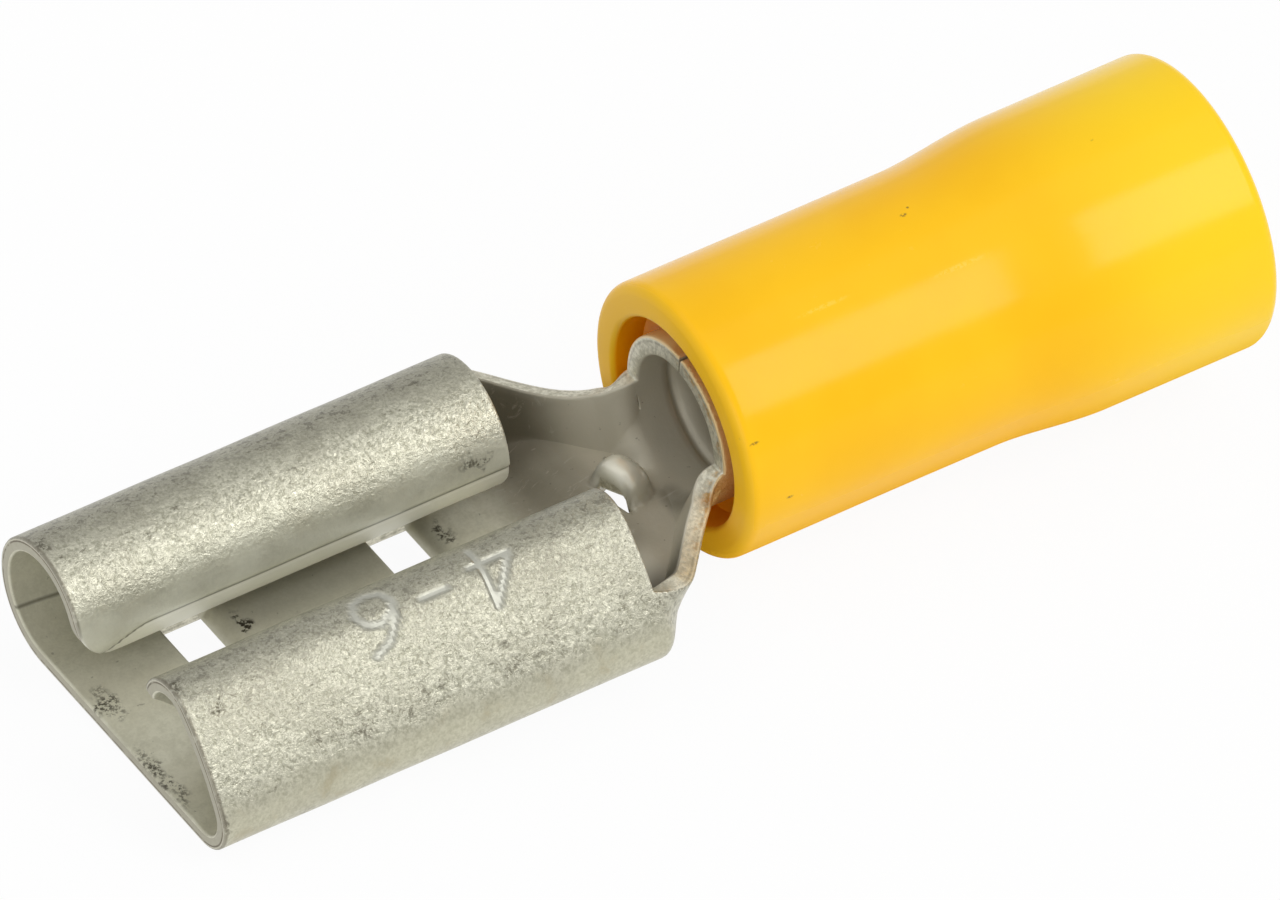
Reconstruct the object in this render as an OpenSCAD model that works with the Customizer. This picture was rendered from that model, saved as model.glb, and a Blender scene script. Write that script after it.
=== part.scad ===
// Insulated female spade terminal: a tinned sheet receptacle rolled into a crimp
// barrel, with a flared vinyl sleeve pressed over the barrel. Millimetres.
// X runs along the barrel from the mouth to the wire end, Z is up, and the origin
// is the middle of the wire entry at the rear face of the sleeve.

/* [Receptacle] */
// Thickness of the tinned sheet
sheet_t = 0.4; // [0.36:0.01:0.42]
// Height of the barrel axis above the underside of the floor
axis_h = 2.11; // [2.08:0.01:2.2]
// Length of the left curl, from the mouth to its rear edge
left_curl_l = 9.64; // [9.5:0.02:9.7]
// Length of the right curl, from the mouth to its rear edge
right_curl_l = 9.88; // [9.8:0.02:9.9]
// Distance from the middle plane to the centre of the left curl
left_curl_y = 2.66; // [2.6:0.01:2.7]
// Outer radius of the left curl
left_curl_r = 1.45; // [1.42:0.01:1.48]
// Angle the left curl is rolled through
left_curl_sweep = 286; // [278:1:290]
// Half width of the floor on the right, up to the bend
right_flat_y = 3.15; // [3.1:0.01:3.2]
// Outer radius of the right bend at the floor
right_bend_r = 0.85; // [0.8:0.01:0.9]
// Angle of the right bend at the floor
right_bend_sweep = 116.5; // [114:0.5:118]
// Outer radius of the right wall
right_wall_r = 5.2; // [4.8:0.1:5.6]
// Angle the right wall turns through
right_wall_sweep = 23.5; // [22:0.5:25]
// Outer radius of the right curl's crown
right_crown_r = 0.9; // [0.86:0.01:0.94]
// Straight drop of the right lip below its crown
right_lip_drop = 1.0; // [0.9:0.02:1.04]
// Radius the front corners of the lips are rounded to
mouth_corner_r = 1.2; // [1:0.05:1.3]

/* [Slots and stop] */
// Distance from the mouth to the first slot
slot_x = 2.19; // [2:0.05:2.6]
// Pitch of the two slots
slot_pitch = 4.6; // [4.2:0.05:5]
// Length of a slot along the receptacle
slot_l = 1.0; // [0.8:0.05:1.2]
// Width of a slot across the receptacle
slot_w = 4.12; // [3.6:0.02:4.4]
// Distance from the mouth to the middle of the stop
stop_x = 11.6; // [11.5:0.02:11.66]
// Distance of the stop from the middle plane, to the left
stop_y = 0.22; // [0:0.02:0.26]
// Angle the stop is turned away from square
stop_turn = 14; // [0:1:18]
// Height of the stop above the neck floor
stop_h = 0.47; // [0.4:0.01:0.52]
// Length of the stop across the neck
stop_w = 1.3; // [1.2:0.02:1.36]
// Depth of the stop along the neck
stop_d = 0.68; // [0.6:0.02:0.72]

/* [Neck] */
// Distance from the lowest point of the neck's top edges to the barrel rim
waist_back = 1.29; // [1.2:0.01:1.35]
// Height of the neck's top edges at their lowest point
waist_h = 1.47; // [1.42:0.01:1.55]
// Rise of the top edges from there to the curls and to the barrel
waist_rise = 0.52; // [0.46:0.01:0.56]
// Radius of the bends between the neck floor and its walls
neck_bend_r = 0.55; // [0.5:0.01:0.6]
// Slope of the neck walls
neck_lean = 62; // [58:1:66]
// Length of the ramp from the receptacle floor up to the neck floor
ramp_l = 1.2; // [1:0.05:1.4]

/* [Barrel] */
// Distance from the mouth to the front rim of the barrel
barrel_x = 12.58; // [12.54:0.02:12.66]
// Outer radius of the barrel
barrel_r = 1.76; // [1.72:0.01:1.8]
// Length of the barrel
barrel_l = 6.3; // [5.8:0.1:6.5]
// Depth of the grip grooves inside the barrel
groove_d = 0.12; // [0.06:0.01:0.16]
// Width of a grip groove
groove_w = 0.28; // [0.2:0.02:0.4]
// Pitch of the grip grooves
groove_pitch = 1.9; // [1.6:0.05:1.95]
// Distance from the barrel rim to the first grip groove
groove_x = 0.62; // [0.5:0.02:0.8]
// Width of the seam along the top of the barrel
seam_w = 0.08; // [0.05:0.01:0.12]
// Angle of the seam from the top of the barrel, to the right
seam_turn = 5; // [0:1:15]

/* [Sleeve] */
// Distance from the mouth to the front face of the sleeve
sleeve_x = 12.5; // [12.4:0.02:12.5]
// Length of the sleeve
sleeve_l = 11.9; // [11.6:0.1:12.4]
// Outer radius of the sleeve at the front
sleeve_front_r = 2.85; // [2.75:0.01:2.9]
// Outer radius of the sleeve at the wire end
sleeve_rear_r = 3.05; // [3:0.01:3.2]
// Radius of the front recess around the barrel
recess_r = 2.15; // [2.1:0.01:2.2]
// Depth of the front recess
recess_l = 0.7; // [0.5:0.05:0.8]
// Radius of the wire entry
entry_r = 2.45; // [2.3:0.01:2.5]
// Radius of the front outer edge of the sleeve
sleeve_edge_r = 0.4; // [0.3:0.02:0.5]
// Radius of the rear outer edge of the sleeve
sleeve_tail_r = 0.25; // [0.15:0.01:0.3]
// Length of the flare from the front size to the rear size
flare_l = 2.5; // [2:0.1:3]
// Length of the funnel that leads the wire into the barrel
funnel_l = 2; // [1.6:0.1:2.2]

/* [Hidden] */
overall_l = sleeve_x + sleeve_l;
bore_r = barrel_r - sheet_t;
seat_clear = 0.02;
seat_r = barrel_r + seat_clear;
barrel_end = barrel_x + barrel_l;
round_fn = 96;
neck_floor = axis_h - barrel_r;
embed = 0.02;
over = 1;
throat_r = bore_r + 0.16;
throat_l = 0.3;
recess_lead = 0.12;
seat_lead = 0.25;
flare_lap = 0.4;
corner_h = 0.93 * mouth_corner_r;
slit_l = 0.55;
slit_gap = 0.1;
rim_lift = 0.12;
stop_wall = 0.13;
stop_end_r = 0.3;

// Corner points of the right curl, worked out along its chain of arcs.
right_turn1 = 180 - right_bend_sweep;
right_c1 = [-right_flat_y, right_bend_r];
right_p1 = right_c1 + right_bend_r * unit(right_turn1 + 90);
right_c2 = right_p1 - right_wall_r * unit(right_turn1 + 90);
right_turn2 = right_turn1 - right_wall_sweep;
right_p2 = right_c2 + right_wall_r * unit(right_turn2 + 90);
right_c3 = right_p2 - right_crown_r * unit(right_turn2 + 90);
right_lip_y = right_c3[0] + right_crown_r;

// ---- Curves used throughout ----

function unit(a) = [cos(a), sin(a)];
function ease(a, b, x) = let(t = min(1, max(0, (x - a) / (b - a)))) t * t * (3 - 2 * t);
function mix(a, b, k) = a + (b - a) * k;

// ---- Receptacle sections, drawn in the plane across the terminal ----

module fan(a0, a1, r) {
  steps = max(2, ceil((a1 - a0) / 30));
  polygon(concat([[0, 0]], [for (i = [0:steps]) 2 * r * unit(a0 + (a1 - a0) * i / steps)]));
}

module sheetArc(centre, r, a0, a1) {
  translate(centre)
    intersection() {
      difference() {
        circle(r, $fn = round_fn);
        circle(r - sheet_t, $fn = round_fn);
      }
      fan(a0, a1, r);
    }
}

module leftSection() {
  sheetArc([left_curl_y, left_curl_r], left_curl_r, -90, left_curl_sweep - 90);
}

// Point on the right curl's chain of arcs, off inwards from its outer face.
function chainPoint(c, r, a, off) = c + (r - off) * unit(a);
function chainSide(off) = concat(
  [for (k = [0:24]) chainPoint(right_c1, right_bend_r, 270 - right_bend_sweep * k / 24, off)],
  [for (k = [1:8]) chainPoint(right_c2, right_wall_r, right_turn1 + 90 - right_wall_sweep * k / 8, off)],
  [for (k = [1:30]) chainPoint(right_c3, right_crown_r, (right_turn2 + 90) * (1 - k / 30), off)],
  [[right_lip_y - off, right_c3[1] - right_lip_drop]]);

module rightSection() {
  outer = chainSide(0);
  inner = chainSide(sheet_t);
  last = len(inner) - 1;
  polygon(concat(outer, [for (k = [last:-1:0]) inner[k]]));
}

module floorSection(width) {
  translate([-right_flat_y, 0])
    square([width, sheet_t]);
}

module along(length) {
  rotate([90, 0, 90]) linear_extrude(length) children();
}

// Side view shape, drawn with x along the terminal, run across it by width.
module across(width) {
  translate([0, width / 2, 0]) rotate([90, 0, 0]) linear_extrude(width) children();
}

// Rounds off the front corner of a lip, which lies low between y0 and y1.
module mouthCorner(y0, y1, lip_z) {
  translate([0, (y0 + y1) / 2, 0])
    across(y1 - y0)
      difference() {
        translate([-over, lip_z - sheet_t])
          square([over + mouth_corner_r, sheet_t + corner_h]);
        translate([mouth_corner_r, lip_z + corner_h])
          circle(mouth_corner_r, $fn = round_fn);
      }
}

// Slot with an upright front wall and a rear wall rolled over to the floor.
module slotCut(x) {
  translate([x, 0, 0])
    across(slot_w)
      difference() {
        translate([0, -over])
          square([slot_l + sheet_t, over + sheet_t + embed]);
        translate([slot_l + sheet_t, 0])
          circle(sheet_t, $fn = 48);
        translate([slot_l, -2 * over])
          square([over, 2 * over]);
      }
}

module receptacle() {
  left_lip_z = left_curl_r * (1 + sin(left_curl_sweep - 90));
  right_lip_z = right_c3[1] - right_lip_drop;
  difference() {
    union() {
      along(right_curl_l) floorSection(right_flat_y + left_curl_y);
      along(left_curl_l) leftSection();
      along(right_curl_l) rightSection();
    }
    mouthCorner(left_curl_y - 2 * left_curl_r, left_curl_y, left_lip_z);
    mouthCorner(right_c3[0], right_lip_y + sheet_t, right_lip_z);
    slotCut(slot_x);
    slotCut(slot_x + slot_pitch);
  }
}

// ---- Neck: the sheet narrows, rises and closes from a tray into the barrel ----

flat_n = 5;
bend_n = 6;
wall_n = 3;
side_n = flat_n + bend_n + wall_n;
neck_n = 22;
neck_x0 = left_curl_l - 0.2;
neck_x1 = barrel_x + 0.35;
waist_x = barrel_x - waist_back;
tray_l = 1.1;
close_l = 0.35;
trough_l = 0.5;
trough_gap = 0.06;
narrow_lap = 0.16;

function neckX(j) = neck_x0 + (neck_x1 - neck_x0) * j / neck_n;
function startX(side) = side > 0 ? left_curl_l : right_curl_l;
function edgeTop(x) =
  let(d = x - waist_x, span = d < 0 ? waist_x - left_curl_l : waist_back)
  waist_h + waist_rise * pow(d / span, 2);
function neckTop(side, x) =
  let(s = max(x, startX(side)))
  mix(edgeTop(s), axis_h, ease(barrel_x - close_l, barrel_x, s));
function trayTop(side) = neckTop(side, startX(side));
function neckBase(x) = neck_floor * ease(right_curl_l, right_curl_l + ramp_l, x);
function trayWide(side) = side > 0 ? left_curl_y + left_curl_r : right_flat_y + right_bend_r;
function neckWide(side, x) =
  mix(trayWide(side), barrel_r, ease(startX(side), barrel_x + narrow_lap, x));

// Tray end of the neck on the left: floor, then the left curl up to the top edge.
function trayLeft(i) =
  let(rise = asin((trayTop(1) - left_curl_r) / left_curl_r) + 90)
  i <= flat_n ? [left_curl_y * i / flat_n, 0]
  : [left_curl_y, left_curl_r]
    + left_curl_r * unit(-90 + rise * (i - flat_n) / (bend_n + wall_n));

// Tray end of the neck on the right, given as a positive distance from the middle.
function trayRight(i) =
  let(k = (i - flat_n) / bend_n, m = (i - flat_n - bend_n) / wall_n,
      rise = asin((trayTop(-1) - right_c2[1]) / right_wall_r),
      turn = 90 - right_turn1)
  i <= flat_n ? [right_flat_y * i / flat_n, 0]
  : i <= flat_n + bend_n ? [right_flat_y, right_bend_r]
    + right_bend_r * unit(-90 + right_bend_sweep * k)
  : [-right_c2[0], right_c2[1]] + right_wall_r * unit(mix(turn, rise, m));

// Middle of the neck: flat floor, small bend, leaning wall.
function tub(i, w, base, top) =
  let(arc = neck_lean, up = top - base - neck_bend_r * (1 - cos(arc)),
      flat = w - neck_bend_r * sin(arc) - up / tan(arc),
      k = (i - flat_n) / bend_n, m = (i - flat_n - bend_n) / wall_n,
      bend = [flat + neck_bend_r * sin(arc), base + neck_bend_r * (1 - cos(arc))])
  i <= flat_n ? [flat * i / flat_n, base]
  : i <= flat_n + bend_n ? [flat + neck_bend_r * sin(arc * k), base + neck_bend_r * (1 - cos(arc * k))]
  : bend + m * [up / tan(arc), up];

function trough(i, top) =
  let(rise = 90 + asin((top - axis_h) / barrel_r))
  [0, axis_h] + barrel_r * unit(-90 + rise * i / side_n);

function sidePoint(side, i, x) =
  let(a = side > 0 ? trayLeft(i) : trayRight(i),
      w = neckWide(side, x), base = neckBase(x), top = neckTop(side, x),
      tray = [a[0] * w / trayWide(side), base + a[1] * (top - base) / trayTop(side)],
      body = mix(tray, tub(i, w, base, top), ease(startX(side), startX(side) + tray_l, x)),
      p = mix(body, trough(i, top), ease(barrel_x - trough_l, barrel_x - trough_gap, x)))
  [x, side * p[0], p[1]];

function neckPoint(i, x) = i >= 0 ? sidePoint(1, i, x) : sidePoint(-1, -i, x);
function neckNormal(i, x) =
  let(i0 = max(-side_n, i - 1), i1 = min(side_n, i + 1),
      du = neckPoint(i1, x) - neckPoint(i0, x),
      dx = neckPoint(i, x + 0.02) - neckPoint(i, x - 0.02),
      n = cross(dx, du))
  n / norm(n);
// Depth the neck stays inside the curls and the barrel where it laps them.
function neckInset(i, x) =
  let(start = i < -flat_n ? right_curl_l : left_curl_l)
  embed * (1 - ease(start, start + 0.25, x) + ease(barrel_x - 0.2, barrel_x, x));
function neckOuter(i, x) = neckPoint(i, x) + neckInset(i, x) * neckNormal(i, x);
function neckInner(i, x) = neckPoint(i, x) + (sheet_t - neckInset(i, x)) * neckNormal(i, x);

module neck() {
  cols = 2 * side_n + 1;
  ring = 2 * cols;
  points = [for (j = [0:neck_n]) let(x = neckX(j))
    each concat([for (i = [-side_n:side_n]) neckOuter(i, x)],
                [for (i = [side_n:-1:-side_n]) neckInner(i, x)])];
  sides = [for (j = [0:neck_n - 1], i = [0:ring - 1])
    let(a = j * ring + i, b = j * ring + (i + 1) % ring, c = a + ring, d = b + ring)
    each [[a, d, b], [a, c, d]]];
  front = [for (i = [0:cols - 2]) let(a = i, b = i + 1, c = ring - 1 - i, d = ring - 2 - i)
    each [[a, b, c], [b, d, c]]];
  back = [for (f = front) [f[0], f[2], f[1]] + neck_n * ring * [1, 1, 1]];
  polyhedron(points, concat(sides, front, back), convexity = 6);
}

// ---- Stop: a small pillow pushed up from the neck floor, open towards the mouth ----

// Pillow with a round crown along it and rounded ends, sunk a little below z = 0.
module pillow(width, depth, height, end_r) {
  lift = height - depth / 2;
  intersection() {
    across(width)
      union() {
        translate([0, lift]) circle(depth / 2, $fn = 48);
        translate([-depth / 2, -2 * embed]) square([depth, lift + 2 * embed]);
      }
    translate([-depth / 2, 0, 0])
      along(depth)
        union() {
          for (side = [-1, 1])
            translate([side * (width / 2 - end_r), height - end_r]) circle(end_r, $fn = 48);
          translate([end_r - width / 2, -2 * embed]) square([width - 2 * end_r, height + 2 * embed]);
          translate([-width / 2, -2 * embed]) square([width, height - end_r + 2 * embed]);
        }
  }
}

module atStop() {
  translate([stop_x, stop_y, neck_floor + sheet_t]) rotate([0, 0, stop_turn]) children();
}

module stopDome() {
  atStop() pillow(stop_w, stop_d, stop_h, stop_end_r);
}

module stopHollow() {
  atStop() {
    pillow(stop_w - 2 * stop_wall, stop_d - 2 * stop_wall, stop_h - stop_wall, stop_end_r - stop_wall);
    translate([-stop_d / 2 - slit_gap, 0.1 - stop_w / 2, -sheet_t - over])
      cube([slit_l, stop_w - 0.2, sheet_t + over + rim_lift]);
  }
}

// ---- Barrel ----

module bar(x0, x1, r) {
  translate([x0, 0, axis_h]) rotate([0, 90, 0]) cylinder(h = x1 - x0, r = r, $fn = round_fn);
}

// Ring groove with sloped sides, cut from inside the barrel.
module groove(x) {
  half = groove_w / 2;
  lead = embed * half / groove_d;
  translate([x + half, 0, axis_h])
    rotate([0, 90, 0])
      rotate_extrude($fn = round_fn)
        polygon([[0, -half - lead], [bore_r - embed, -half - lead],
                 [bore_r + groove_d, 0], [bore_r - embed, half + lead], [0, half + lead]]);
}

module barrel() {
  difference() {
    bar(barrel_x, barrel_end, barrel_r);
    bar(barrel_x - over, barrel_end + over, bore_r);
    for (k = [0:2]) groove(barrel_x + groove_x + groove_pitch * k);
    translate([barrel_x - over, 0, axis_h])
      rotate([seam_turn, 0, 0])
        translate([0, -seam_w / 2, 0])
          cube([barrel_l + 2 * over, seam_w, barrel_r + over]);
  }
}

module terminal() {
  color([0.72, 0.71, 0.66])
    translate([-overall_l, 0, -axis_h]) {
      difference() {
        union() {
          receptacle();
          neck();
          stopDome();
        }
        stopHollow();
      }
      barrel();
    }
}

// ---- Sleeve ----

// Outline of half the sleeve, as [radius, distance from the mouth].
module sleeveOuter() {
  e = sleeve_edge_r;
  b = sleeve_tail_r;
  flare_x = barrel_end - flare_lap;
  step = 12;
  polygon(concat(
    [[bore_r, sleeve_x], [sleeve_front_r - e, sleeve_x],
     [sleeve_front_r - e, sleeve_x + e], [sleeve_front_r, sleeve_x + e]],
    [for (k = [0:step]) [mix(sleeve_front_r, sleeve_rear_r, ease(0, step, k)), flare_x + flare_l * k / step]],
    [[sleeve_rear_r, overall_l - b], [sleeve_rear_r - b, overall_l - b],
     [sleeve_rear_r - b, overall_l], [bore_r, overall_l]]));
  translate([sleeve_front_r - e, sleeve_x + e]) circle(e, $fn = 48);
  translate([sleeve_rear_r - b, overall_l - b]) circle(b, $fn = 48);
}

module sleeveInner() {
  stop_end = barrel_end + seat_clear;
  polygon([
    [0, sleeve_x - over],
    [recess_r + recess_lead, sleeve_x - over],
    [recess_r + recess_lead, sleeve_x],
    [recess_r, sleeve_x + recess_lead],
    [recess_r, sleeve_x + recess_l],
    [seat_r, sleeve_x + recess_l + seat_lead],
    [seat_r, stop_end],
    [throat_r, stop_end],
    [throat_r, stop_end + throat_l],
    [entry_r, stop_end + throat_l + funnel_l],
    [entry_r, overall_l + over],
    [0, overall_l + over]]);
}

module sleeve() {
  color([0.98, 0.78, 0.1])
    translate([-overall_l, 0, 0])
      rotate([0, 90, 0])
        rotate_extrude($fn = round_fn)
          difference() {
            sleeveOuter();
            sleeveInner();
          }
}

terminal();
sleeve();
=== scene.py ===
import bpy
import bmesh
import math
import numpy as np
from mathutils import Vector, Matrix
from mathutils.kdtree import KDTree


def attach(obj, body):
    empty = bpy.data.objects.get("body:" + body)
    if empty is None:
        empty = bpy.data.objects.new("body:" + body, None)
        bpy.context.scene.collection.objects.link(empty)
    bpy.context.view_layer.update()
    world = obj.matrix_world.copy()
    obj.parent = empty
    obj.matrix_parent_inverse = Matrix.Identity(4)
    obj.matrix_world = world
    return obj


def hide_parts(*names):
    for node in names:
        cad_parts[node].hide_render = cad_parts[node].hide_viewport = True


# A female spade terminal: one rolled, tin-plated sheet in a yellow vinyl sleeve.
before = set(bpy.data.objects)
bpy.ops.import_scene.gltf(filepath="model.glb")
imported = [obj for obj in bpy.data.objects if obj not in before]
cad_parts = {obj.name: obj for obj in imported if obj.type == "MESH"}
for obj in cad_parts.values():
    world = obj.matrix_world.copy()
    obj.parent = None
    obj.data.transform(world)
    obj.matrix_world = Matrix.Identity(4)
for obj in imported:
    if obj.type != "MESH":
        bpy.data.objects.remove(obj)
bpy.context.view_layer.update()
mm = 0.001
bpy.context.scene.view_settings.view_transform = "Standard"

# ---- Camera, lamps and floor ----

# Places in mm in the part's frame, turns in degrees.
studio = {
    "eye": (-250.183, -378.027, 415.674),
    "azimuth": -32.147, "elevation": 42.977, "roll": -0.122,
    "lens": 900, "sensor": 36, "clipStart": 0.1, "clipEnd": 5,
    "lampsAim": (-12, 0, 0), "worldLevel": 0.66,
    "floorHalf": 900, "floorGap": 0.004, "floorGlow": 0.94, "floorTone": (0.9, 0.9, 0.9, 1),
}


def addCamera():
    a, e, r = (math.radians(studio[k]) for k in ("azimuth", "elevation", "roll"))
    back = Vector((math.sin(a) * math.cos(e), -math.cos(a) * math.cos(e), math.sin(e)))
    level = Vector((math.cos(a), math.sin(a), 0))
    rise = back.cross(level)
    right = level * math.cos(r) + rise * math.sin(r)
    up = rise * math.cos(r) - level * math.sin(r)
    data = bpy.data.cameras.new("camera")
    data.sensor_width = studio["sensor"]
    data.lens = studio["lens"]
    data.clip_start = studio["clipStart"]
    data.clip_end = studio["clipEnd"]
    camera = bpy.data.objects.new("camera", data)
    turn = Matrix((right, up, back)).transposed().to_4x4()
    camera.matrix_world = Matrix.Translation(Vector(studio["eye"]) * mm) @ turn
    bpy.context.scene.collection.objects.link(camera)
    bpy.context.scene.camera = camera


# Soft lamps: direction they stand in, distance and size in mm, watts.
lamps = {
    "keyBox": {"at": (0.46, -0.57, 0.68), "away": 1000, "size": (360, 680), "power": 3.0},
    "overBox": {"at": (0.39, -0.05, 0.90), "away": 1050, "size": (600, 600), "power": 0.5},
    "topBox": {"at": (-0.25, 0.35, 0.90), "away": 1100, "size": (900, 700), "power": 0.9},
    "frontFill": {"at": (-0.70, -0.65, 0.30), "away": 1200, "size": (700, 700), "power": 2.0},
}


def addLamps():
    for name, box in lamps.items():
        data = bpy.data.lights.new(name, "AREA")
        data.shape = "RECTANGLE"
        data.size, data.size_y = (side * mm for side in box["size"])
        data.energy = box["power"]
        lamp = bpy.data.objects.new(name, data)
        way = Vector(box["at"]).normalized()
        lamp.location = Vector(studio["lampsAim"]) * mm + way * box["away"] * mm
        wide = (Vector((1, 0, 0)) - way * way.x).normalized()
        lamp.rotation_euler = Matrix((wide, way.cross(wide), way)).transposed().to_euler()
        bpy.context.scene.collection.objects.link(lamp)
    world = bpy.data.worlds.new("softRoom")
    world.use_nodes = True
    level = studio["worldLevel"]
    world.node_tree.nodes["Background"].inputs["Color"].default_value = (level, level, level, 1)
    bpy.context.scene.world = world


# ---- Shader maths ----

class Wire:
    # One socket of a finish; an expression on wires adds its Math nodes.
    def __init__(self, finish, socket):
        self.finish, self.socket = finish, socket

    def work(self, operation, other, swap=False):
        many = self.socket.type in ("VECTOR", "RGBA")
        if many and not isinstance(other, (Wire, tuple)):
            other = (other, other, other)
        a, b = (other, self) if swap else (self, other)
        kind = "ShaderNodeVectorMath" if many else "ShaderNodeMath"
        return self.finish.node(kind, {"operation": operation}, {0: a, 1: b})

    def __add__(self, other):
        return self.work("ADD", other)

    def __radd__(self, other):
        return self.work("ADD", other)

    def __sub__(self, other):
        return self.work("SUBTRACT", other)

    def __rsub__(self, other):
        return self.work("SUBTRACT", other, True)

    def __mul__(self, other):
        return self.work("MULTIPLY", other)

    def __rmul__(self, other):
        return self.work("MULTIPLY", other)

    def __abs__(self):
        return self.finish.node("ShaderNodeMath", {"operation": "ABSOLUTE"}, {0: self})


class Finish:
    def __init__(self, name, **fixed):
        self.material = bpy.data.materials.new(name)
        self.material.use_nodes = True
        self.nodes = self.material.node_tree.nodes
        self.links = self.material.node_tree.links
        self.shader = self.nodes["Principled BSDF"]
        for key, value in fixed.items():
            self.shader.inputs[key.replace("_", " ")].default_value = value
        # Places on the part in mm.
        self.place = self.node("ShaderNodeTexCoord", out="Object") * (1 / mm)

    # Any node: its type, its settings, then the values or links of its sockets.
    def node(self, kind, settings=None, sockets=None, out=0):
        node = self.nodes.new(kind)
        for key, value in (settings or {}).items():
            setattr(node, key, value)
        for key, value in (sockets or {}).items():
            if isinstance(value, Wire):
                self.links.new(value.socket, node.inputs[key])
            else:
                node.inputs[key].default_value = value
        return Wire(self, node.outputs[out])

    def feed(self, name, wire):
        self.links.new(wire.socket, self.shader.inputs[name])

    def axes(self):
        return [self.node("ShaderNodeSeparateXYZ", None, {0: self.place}, name) for name in "XYZ"]

    def length(self, vector):
        return self.node("ShaderNodeVectorMath", {"operation": "LENGTH"}, {0: vector}, "Value")

    def stored(self, name):
        return self.node("ShaderNodeAttribute", {"attribute_name": name}, out="Fac")

    # Scale is in grains per mm.
    def noise(self, scale, detail=3.0, rough=0.55, place=None, distort=0.0):
        return self.node("ShaderNodeTexNoise", None, {
            "Vector": place or self.place, "Scale": scale, "Detail": detail,
            "Roughness": rough, "Distortion": distort})

    # Goes softly from a at low to b at high.
    def band(self, wire, low, high, a=0.0, b=1.0):
        return self.node("ShaderNodeMapRange", {"interpolation_type": "SMOOTHSTEP"}, {
            "Value": wire, "From Min": low, "From Max": high, "To Min": a, "To Max": b})

    # 1 within core of a place and 0 beyond reach of it.
    def line(self, wire, at, reach, core):
        return self.band(abs(wire - at), reach, core)

    def blend(self, factor, a, b):
        a, b = ((*c, 1) if isinstance(c, tuple) else c for c in (a, b))
        return self.node("ShaderNodeMix", {"data_type": "RGBA"}, {0: factor, 6: a, 7: b}, 2)

    def bump(self, height, distance, strength=1.0, under=None):
        sockets = {"Height": height, "Distance": distance * mm, "Strength": strength}
        if under:
            sockets["Normal"] = under
        return self.node("ShaderNodeBump", None, sockets)


# ---- Floor ----

def addFloor(low, edge, radius):
    # The terminal rests on its mouth and on the sleeve's front edge, so the floor leans a little.
    run, drop = edge[0] - low[0], edge[1] - low[1]
    lean = math.atan2(drop, run) - math.asin(radius / math.hypot(run, drop))
    bm = bmesh.new()
    bmesh.ops.create_grid(bm, x_segments=2, y_segments=2, size=studio["floorHalf"] * mm)
    mesh = bpy.data.meshes.new("floor")
    bm.to_mesh(mesh)
    bm.free()
    floor = bpy.data.objects.new("floor", mesh)
    bpy.context.scene.collection.objects.link(floor)
    floor.location = Vector((low[0], 0, low[1] - studio["floorGap"])) * mm
    floor.rotation_euler = (0, -lean, 0)
    mesh.materials.append(paleFloor())


def paleFloor():
    f = Finish("paleFloor", Roughness=0.9, Specular_IOR_Level=0.1, Base_Color=studio["floorTone"])
    glow = f.node("ShaderNodeEmission", None, {"Color": (1, 1, 1, 1), "Strength": 1.0})
    camera = f.node("ShaderNodeLightPath", out="Is Camera Ray")
    outputs = camera.socket.node.outputs
    rays = camera + Wire(f, outputs["Is Glossy Ray"]) + Wire(f, outputs["Is Transmission Ray"])
    mixed = f.node("ShaderNodeMixShader", None, {
        0: rays * studio["floorGlow"], 1: Wire(f, f.shader.outputs[0]), 2: glow})
    f.links.new(mixed.socket, f.nodes["Material Output"].inputs["Surface"])
    return f.material


# ---- Terminal: one sheet, rolled and folded ----

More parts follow.
